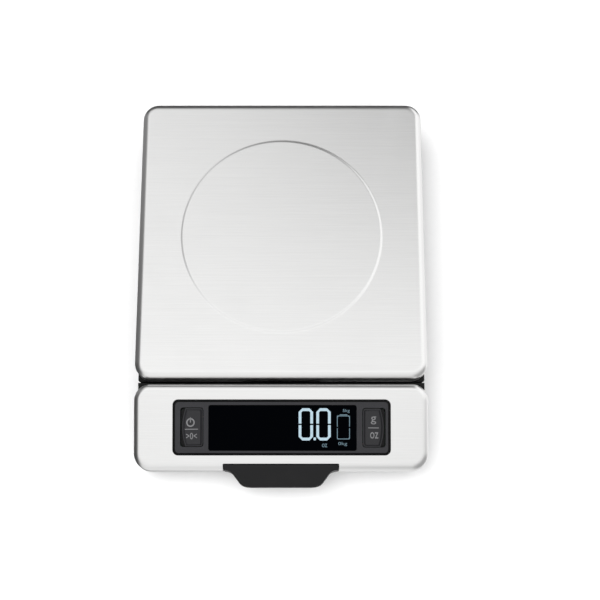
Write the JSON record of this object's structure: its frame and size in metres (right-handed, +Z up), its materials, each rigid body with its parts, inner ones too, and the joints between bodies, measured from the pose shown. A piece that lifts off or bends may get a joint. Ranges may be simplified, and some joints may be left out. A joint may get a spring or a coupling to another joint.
{
  "type": "kitchen scale",
  "caption": "Flat digital kitchen scale: a lift-off steel weighing platform on a load cell, and a sloping lit display unit that pulls out from under it on a slide arm.",
  "frame": {"origin": "on the table, under the middle of the whole scale with the display unit pushed in", "axes": "+Z up, +Y from the pull handle at the front to the back of the platform, +X to the user's right as they face the display"},
  "size_m": [0.162, 0.2208, 0.032],
  "materials": {
    "brushed_steel": "fine straight-grain brushed stainless steel, satin",
    "body_plastic": "fine spark-textured black moulding",
    "handle_plastic": "smooth matt black moulding",
    "panel_plastic": "satin dark grey moulding",
    "button_plastic": "satin black moulding with pale printed signs",
    "window_glass": "polished smoked acrylic",
    "display_glass": "dark liquid-crystal glass with pale lit digits",
    "light_guide": "milky acrylic light guide",
    "circuit_board": "green solder mask over glass laminate",
    "foot_rubber": "soft dark grey rubber",
    "pad_silicone": "translucent white silicone",
    "cell_aluminium": "machined aluminium",
    "gauge_film": "amber polyimide film under clear sealant",
    "guide_plastic": "natural white acetal",
    "screw_steel": "zinc-plated steel",
    "switch_metal": "pressed plate over a black moulded base",
    "contact_nickel": "nickel-plated spring steel",
    "battery_wrap": "printed foil wrap",
    "ribbon_insulation": "white insulated flat cable",
    "lead_insulation": "red insulated lead"
  },
  "bodies": {
    "base": {"base_tray": "body_plastic", "base_deck": "body_plastic", "foot_front_left": "foot_rubber", "foot_front_right": "foot_rubber", "foot_rear_left": "foot_rubber", "foot_rear_right": "foot_rubber", "load_cell_spacer": "cell_aluminium", "load_cell": "cell_aluminium", "strain_gauge_upper": "gauge_film", "strain_gauge_lower": "gauge_film", "cell_screw_inner": "screw_steel", "cell_screw_outer": "screw_steel", "base_board": "circuit_board", "ribbon_socket": "guide_plastic", "load_cell_lead": "lead_insulation", "slide_guide": "guide_plastic", "battery_front_left": "battery_wrap", "battery_front_right": "battery_wrap", "battery_rear_left": "battery_wrap", "battery_rear_right": "battery_wrap", "contact_bridge": "contact_nickel", "contact_positive": "contact_nickel", "contact_negative": "contact_nickel", "deck_screw_left_front": "screw_steel", "deck_screw_left_rear": "screw_steel", "deck_screw_right_front": "screw_steel", "deck_screw_right_rear": "screw_steel", "ribbon_cable": "ribbon_insulation"},
    "door": {"battery_door": "body_plastic"},
    "carrier": {"platform_carrier": "body_plastic", "carrier_pad_front_left": "pad_silicone", "carrier_pad_front_right": "pad_silicone", "carrier_pad_rear_left": "pad_silicone", "carrier_pad_rear_right": "pad_silicone", "carrier_screw_inner": "screw_steel", "carrier_screw_outer": "screw_steel"},
    "platform": {"platform_plate": "brushed_steel", "platform_liner": "body_plastic"},
    "display": {"display_cover": "brushed_steel", "display_housing": "body_plastic", "pull_handle": "handle_plastic", "panel_bezel": "panel_plastic", "display_window": "window_glass", "lcd_module": "display_glass", "backlight": "light_guide", "display_board": "circuit_board", "power_switch": "switch_metal", "unit_switch": "switch_metal", "slide_arm": "body_plastic", "housing_screw_left_front": "screw_steel", "housing_screw_left_rear": "screw_steel", "housing_screw_right_front": "screw_steel", "housing_screw_right_rear": "screw_steel", "arm_screw_left": "screw_steel", "arm_screw_right": "screw_steel"},
    "power_button": {"power_button": "button_plastic"},
    "unit_button": {"unit_button": "button_plastic"}
  },
  "joints": [
    {"name": "display_slide", "type": "slide", "parent": "base", "child": "display", "axis": [0, -1, 0], "range_m": [0, 0.095], "deforming": ["ribbon_cable"]},
    {"name": "load_deflection", "type": "slide", "parent": "base", "child": "carrier", "axis": [0, 0, -1], "range_m": [0, 0.0005], "stiffness_N_per_m": 100000, "springref_m": -0.00004, "deforming": ["load_cell"]},
    {"name": "platform_lift", "type": "slide", "parent": "carrier", "child": "platform", "axis": [0, 0, 1], "range_m": [0, 0.04]},
    {"name": "power_button_press", "type": "slide", "parent": "display", "child": "power_button", "axis": [0, 0.2164, -0.9763], "range_m": [0, 0.0006], "stiffness_N_per_m": 2000, "springref_m": -0.0003},
    {"name": "unit_button_press", "type": "slide", "parent": "display", "child": "unit_button", "axis": [0, 0.2164, -0.9763], "range_m": [0, 0.0006], "stiffness_N_per_m": 2000, "springref_m": -0.0003},
    {"name": "battery_door_hinge", "type": "hinge", "parent": "base", "child": "door", "pos_m": [0, 0.1017, 0.0039], "axis": [1, 0, 0], "range_deg": [0, 90]}
  ]
}
